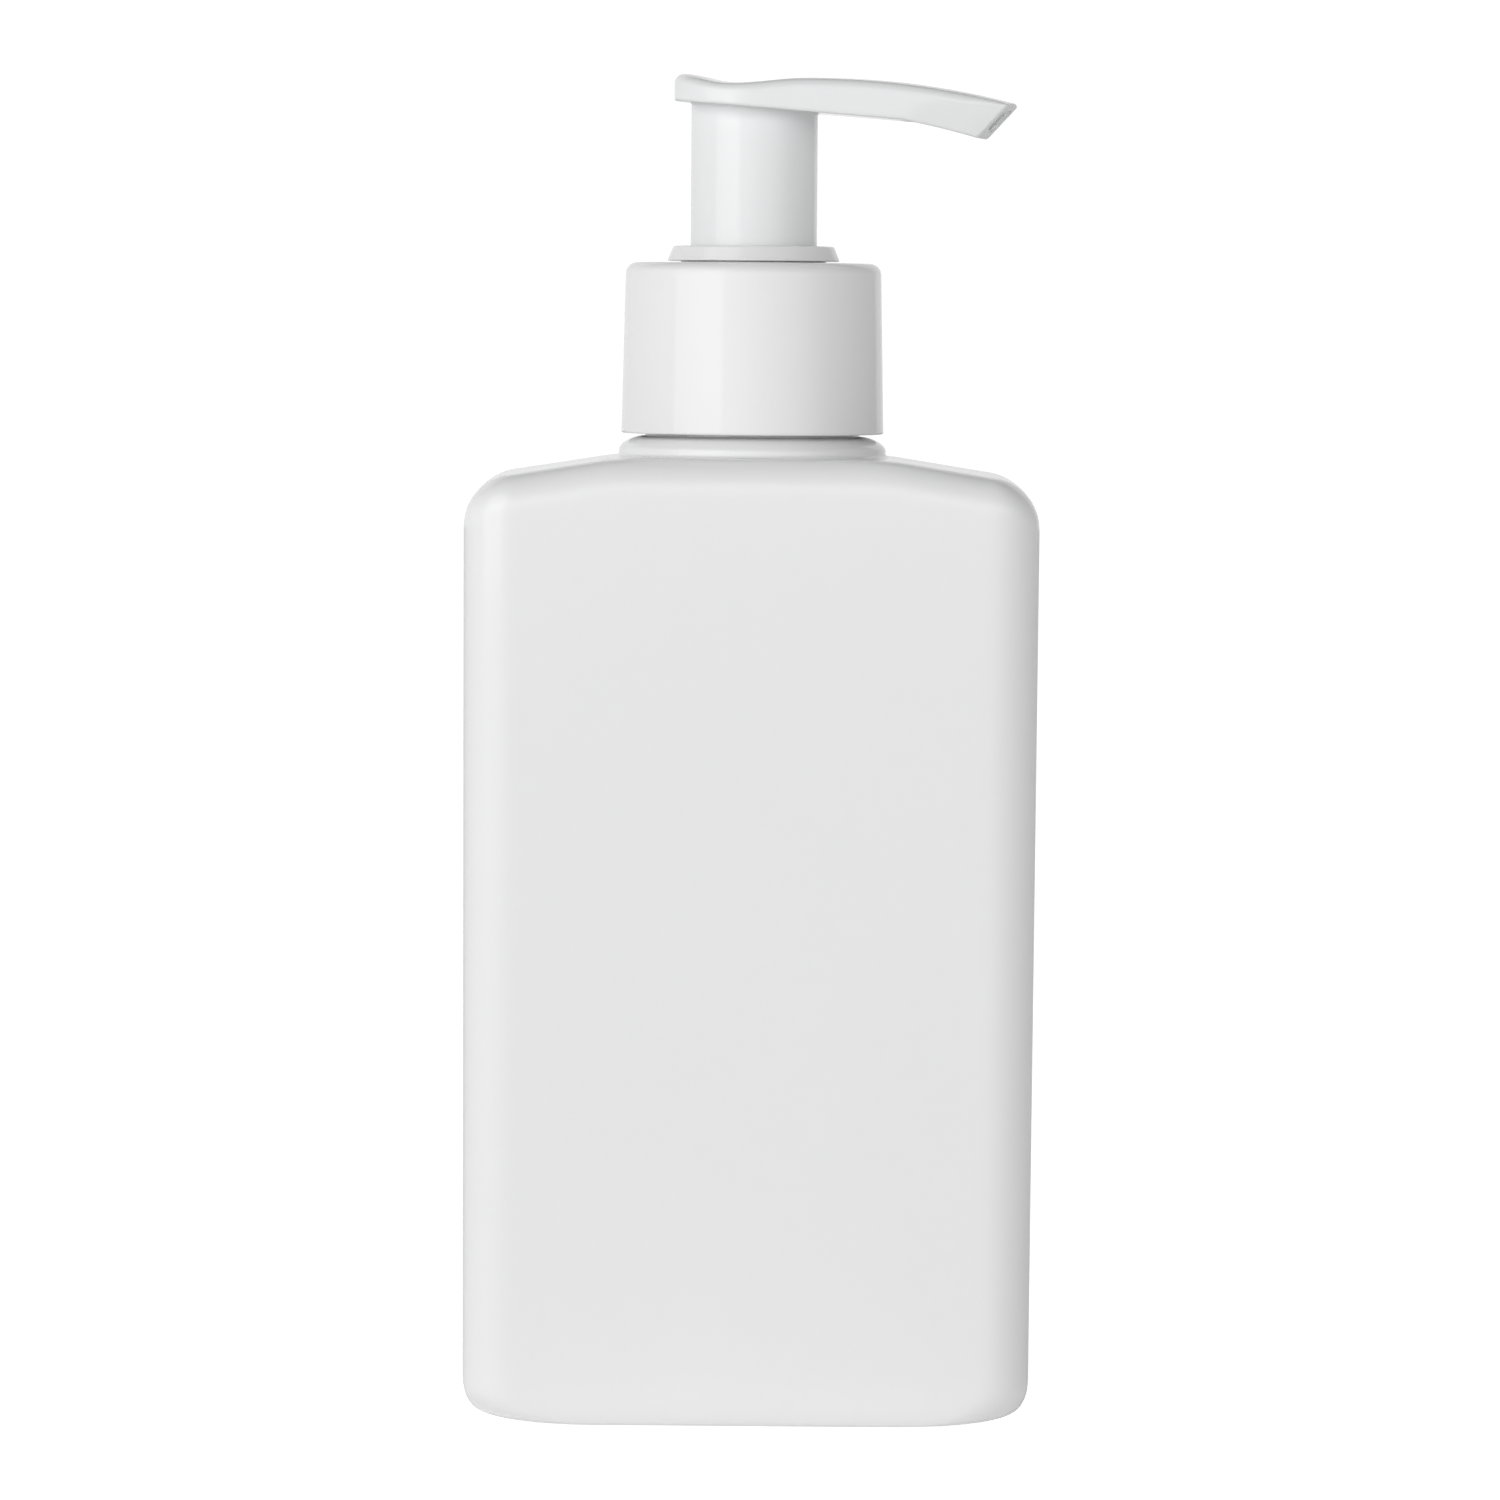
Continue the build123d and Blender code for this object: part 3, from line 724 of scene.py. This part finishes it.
for angle in np.linspace(first_angle, tangent, 46)[1:-1]:
    ray = Vector((cos(angle), sin(angle)))
    share = (corner_end.y * ray.x - corner_end.x * ray.y) / (side.x * ray.y - side.y * ray.x)
    quarter_points.append(tuple(corner_end + side * share))
    quarter_normals.append((cos(tangent), sin(tangent)))
for angle in np.linspace(tangent, pi, 52):
    quarter_points.append((head_radius * cos(angle), head_radius * sin(angle)))
    quarter_normals.append((cos(angle), sin(angle)))
mirror = np.array((1, -1))
edge = np.vstack((quarter_points, np.array(quarter_points)[-2:0:-1] * mirror))
edge_normal = np.vstack((quarter_normals, np.array(quarter_normals)[-2:0:-1] * mirror))

near_end = ((edge[:, 0] - spout_reach + edge_fade[0]) / (edge_fade[0] - edge_fade[1])).clip(0, 1)
back_round = edge_round + (end_round - edge_round) * near_end ** 2 * (3 - 2 * near_end)
back_edge = edge - edge_normal * back_round[:, None]
head_rings = []
for share in (*np.linspace(0.03, 0.95, 30), 0.985):
    head_rings.append(level(back_edge * share, back_z(back_edge * share)))
for bend in np.linspace(pi / 2, 0, 9):
    points = edge - edge_normal * (back_round * (1 - cos(bend)))[:, None]
    head_rings.append(level(points, back_z(back_edge) - back_round * (1 - sin(bend))))
wall_top = head_rings[-1][:, 2]
wall_foot = under_z(edge) + under_round
for share in (0.05, 0.2, 0.4, 0.6, 0.8, 0.95):
    head_rings.append(level(edge, wall_top + (wall_foot - wall_top) * share))
under_edge = edge - edge_normal * under_round
for bend in np.linspace(0, pi / 2, 6):
    points = edge - edge_normal * (under_round * (1 - cos(bend)))
    head_rings.append(level(points, under_z(points) + under_round * (1 - sin(bend))))
head_angle = np.arctan2(under_edge[:, 1], under_edge[:, 0])
root = (skirt_radius + skirt_root) * np.column_stack((np.cos(head_angle), np.sin(head_angle)))
for share in (0.015, *np.linspace(0.06, 1, 22)):
    points = under_edge + (root - under_edge) * share
    head_rings.append(level(points, under_z(points)))
for bend in np.linspace(0, pi / 2, 5)[1:]:
    radius = skirt_radius + skirt_root * (1 - sin(bend))
    points = radius * np.column_stack((np.cos(head_angle), np.sin(head_angle)))
    head_rings.append(level(points, under_z(points) - skirt_root * (1 - cos(bend))))
bead_shelf_z = head_low.z + skirt_bead_height
skirt_inside = skirt_radius - skirt_wall
socket_radius = socket_bore + socket_wall
skirt_profile = [
    (skirt_radius, underside_z - 2.0),
    *[(skirt_radius, z) for z in np.linspace(underside_z - 3.0, bead_shelf_z + small_edge, 12)],
    (skirt_radius, bead_shelf_z),
    (skirt_bead, bead_shelf_z),
    (skirt_bead, head_low.z + skirt_edge[1]),
    (skirt_bead - skirt_edge[0], head_low.z),
    (skirt_inside + small_edge, head_low.z),
    (skirt_inside, head_low.z + small_edge),
    (skirt_inside, roof_z - inner_edge),
    (skirt_inside - inner_edge, roof_z),
    (socket_radius + 2 * small_edge, roof_z),
    (socket_radius, roof_z - 2 * small_edge),
    (socket_radius, socket_foot_z + 2 * small_edge),
    (socket_radius - 2 * small_edge, socket_foot_z),
    (socket_bore + inner_edge, socket_foot_z),
    (socket_bore, socket_foot_z + inner_edge),
    (socket_bore, stem_top_z - seat_edge),
    (socket_bore - seat_edge, stem_top_z),
]
head_rings += [circle_ring(head_angle, r, z) for r, z in skirt_profile]
head_rings = [slanted(ring) for ring in head_rings]
head = skin("spout_head", head_rings, capped=True)


def tube(name, path, radius):
    """A closed tube along points in the spout's upright plane, for cutting."""
    rings = []
    around = np.linspace(0, 2 * pi, 32, endpoint=False)
    heading = np.gradient(path, axis=0)
    heading /= np.linalg.norm(heading, axis=1)[:, None]
    for (u, z), (du, dz) in zip(path, heading):
        rings.append(np.column_stack((
            u - dz * radius * np.sin(around), radius * np.cos(around), z + du * radius * np.sin(around))))
    return skin(name, rings, capped=True)


def cut(piece, cutter):
    """Cuts one solid out of another and removes the cutter."""
    boolean = piece.modifiers.new("cut", "BOOLEAN")
    boolean.operation = "DIFFERENCE"
    boolean.solver = "EXACT"
    boolean.object = cutter
    bpy.context.view_layer.update()
    done = piece.evaluated_get(bpy.context.evaluated_depsgraph_get())
    mesh = bpy.data.meshes.new_from_object(done)
    piece.modifiers.clear()
    piece.data = mesh
    bpy.data.objects.remove(cutter)


reach = np.linspace(0, spout_reach + 2, 40)
channel_slopes = np.gradient([z for _, z in channel_line], [u for u, _ in channel_line])
channel_z = underside_z + along_curve(reach, channel_line, channel_slopes)
cut(head, tube("channel", np.column_stack((reach, channel_z)), channel_radius))
rise_z = np.linspace(stem_top_z - 1, underside_z + 1, 4)
cut(head, tube("riser", np.column_stack((np.zeros(4), rise_z)), channel_radius))

slant = Vector((spout_reach - toe_reach, tip_z - toe_z)).normalized()
outward = Vector((slant.y, -slant.x))
mouth_middle = Vector(((spout_reach + toe_reach) / 2, (tip_z + toe_z) / 2))
mouth_height = hypot(spout_reach - toe_reach, tip_z - toe_z) / 2 - mouth_border
mouth_half = end_half - mouth_border
mouth_rings = []
for depth in (-mouth_depth, mouth_clear):
    ring = []
    for bend in np.linspace(0, 2 * pi, 48, endpoint=False):
        across = abs(cos(bend)) ** mouth_power * (1 if cos(bend) > 0 else -1) * mouth_half
        up = abs(sin(bend)) ** mouth_power * (1 if sin(bend) > 0 else -1) * mouth_height
        spot = mouth_middle + slant * up + outward * depth
        ring.append((spot.x, across, spot.y))
    mouth_rings.append(np.array(ring))
cut(head, skin("mouth", mouth_rings, capped=True))

shaped = bmesh.new()
shaped.from_mesh(head.data)
weld_gap = 0.002 * MM       # points this close become one after the cuts
bmesh.ops.remove_doubles(shaped, verts=shaped.verts, dist=weld_gap)
bmesh.ops.rotate(shaped, verts=shaped.verts, matrix=Matrix.Rotation(head_turn, 3, "Z"))
bpy.data.objects.remove(head)
head = finished("spout_head", shaped)
head_white = (0.825, 0.83, 0.835)
head_plastic = moulded("white_head_polypropylene", head_white, roughness=0.08,
                       mottle=0.01, peel=1200.0)
head.data.materials.append(head_plastic)
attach(head, "head")
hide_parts("pump_head")


# Studio. A white floor and background, a bright panel behind the bottle that lights its rims,
# a broad front light, one tall softbox at the left and a dim ceiling. The world is a little
# darker to the right, so that side falls into soft shade.
floor_radius = 4.0
floor_gap = 0.0001          # keeps the floor and the bottle's foot apart
floor_bounce = 0.2          # light that the floor adds to what it reflects
floor_shine = 0.75          # the same for the camera alone, so that it fades into the background
background = 1.05
floor_white = (0.85, 0.85, 0.85, 1)
white_light = (1, 1, 1, 1)
floor_mesh = bmesh.new()
bmesh.ops.create_circle(floor_mesh, cap_ends=True, segments=96, radius=floor_radius)
floor = finished("studio_floor", floor_mesh)
floor.location.z = -floor_gap
floor_material, floor_paint = new_paint("pale_floor")
seen = floor_paint.node("ShaderNodeLightPath", output="Is Camera Ray")
pale = floor_paint.node("ShaderNodeBsdfDiffuse", {}, {"Color": floor_white})
washed = floor_paint.node("ShaderNodeEmission", {}, {"Color": white_light, "Strength": floor_bounce})
bounce = floor_paint.node("ShaderNodeAddShader", {}, {0: pale, 1: washed})
bright = floor_paint.node("ShaderNodeEmission", {}, {"Color": white_light, "Strength": floor_shine})
lit = floor_paint.node("ShaderNodeAddShader", {}, {0: pale, 1: bright})
floor_look = floor_paint.node("ShaderNodeMixShader", {}, {0: seen, 1: bounce, 2: lit})
floor_paint.node("ShaderNodeOutputMaterial", {}, {"Surface": floor_look})
floor.data.materials.append(floor_material)

world = bpy.data.worlds.new("studio")
bpy.context.scene.world = world
world.use_nodes = True
sky = Paint(world.node_tree)
direction = sky.node("ShaderNodeTexCoord", output="Generated")
side_x = sky.node("ShaderNodeSeparateXYZ", {}, {"Vector": direction}, "X")
back_y = sky.node("ShaderNodeSeparateXYZ", {}, {"Vector": direction}, "Y")
up_z = sky.node("ShaderNodeSeparateXYZ", {}, {"Vector": direction}, "Z")


def ease(value, low, high):
    """0 below low, 1 above high, smooth between."""
    return sky.node("ShaderNodeMapRange", {"interpolation_type": "SMOOTHSTEP"},
                    {"Value": value, "From Min": low, "From Max": high})


backdrop = 0.9              # radiances of the panel and of the rest
side_left = 0.9
side_right = 0.52
front_centre = 1.05
ceiling = 0.1
panel_side = 1.28           # back over side, and height over back, at the panel's edges
panel_top = 0.75
across = sky.node("ShaderNodeMath", {"operation": "ABSOLUTE"}, {0: side_x})
behind = ease(back_y - panel_side * across, 0.0, 0.04)
panel = behind * (1 - ease(up_z - panel_top * back_y, 0.0, 0.06))
# Shares of the light that grow to the left, to the front and upwards
leftward = ease(0 - side_x, -0.25, 0.35)
ahead = ease(0 - back_y, 0.3, 0.95)
above = ease(up_z, 0.2, 0.8)
around_it = side_right + (side_left - side_right) * leftward + front_centre * ahead
glow = panel * backdrop + (1 - panel) * ((1 - above) * around_it + above * ceiling)
felt = sky.node("ShaderNodeBackground", {}, {"Color": white_light, "Strength": glow})
shown = sky.node("ShaderNodeBackground", {}, {"Color": white_light, "Strength": background})
camera_ray = sky.node("ShaderNodeLightPath", output="Is Camera Ray")
either = sky.node("ShaderNodeMixShader", {}, {0: camera_ray, 1: felt, 2: shown})
sky.node("ShaderNodeOutputWorld", {}, {"Surface": either})


bottle_middle = Vector((0, 0, 0.09))


def softbox(name, azimuth, height, distance, width, tall, radiance):
    """A rectangular area light that faces the bottle. Azimuth counts from the front to the right."""
    data = bpy.data.lights.new(name, "AREA")
    data.shape = "RECTANGLE"
    data.size = width
    data.size_y = tall
    data.energy = radiance * pi * width * tall
    lamp = bpy.data.objects.new(name, data)
    bpy.context.scene.collection.objects.link(lamp)
    place = Vector((sin(azimuth) * distance, -cos(azimuth) * distance, height))
    lamp.location = place
    lamp.rotation_euler = (bottle_middle - place).to_track_quat("-Z", "Y").to_euler()


softbox("tall_softbox", azimuth=radians(-50), height=0.55, distance=1.1, width=1.07, tall=1.1,
        radiance=1.1)

camera_place = Vector((0, -0.869, 0.13865))
camera_aim = Vector((0, 0, 0.08325))
camera_roll = radians(0.43)
camera_data = bpy.data.cameras.new("camera")
camera_data.sensor_width = 36.0
camera_data.lens = 165.5
camera = bpy.data.objects.new("camera", camera_data)
bpy.context.scene.collection.objects.link(camera)
facing = (camera_aim - camera_place).to_track_quat("-Z", "Y").to_matrix()
rolled = facing @ Matrix.Rotation(camera_roll, 3, "Z")
camera.matrix_world = Matrix.Translation(camera_place) @ rolled.to_4x4()
bpy.context.scene.camera = camera
bpy.context.scene.view_settings.view_transform = "Standard"
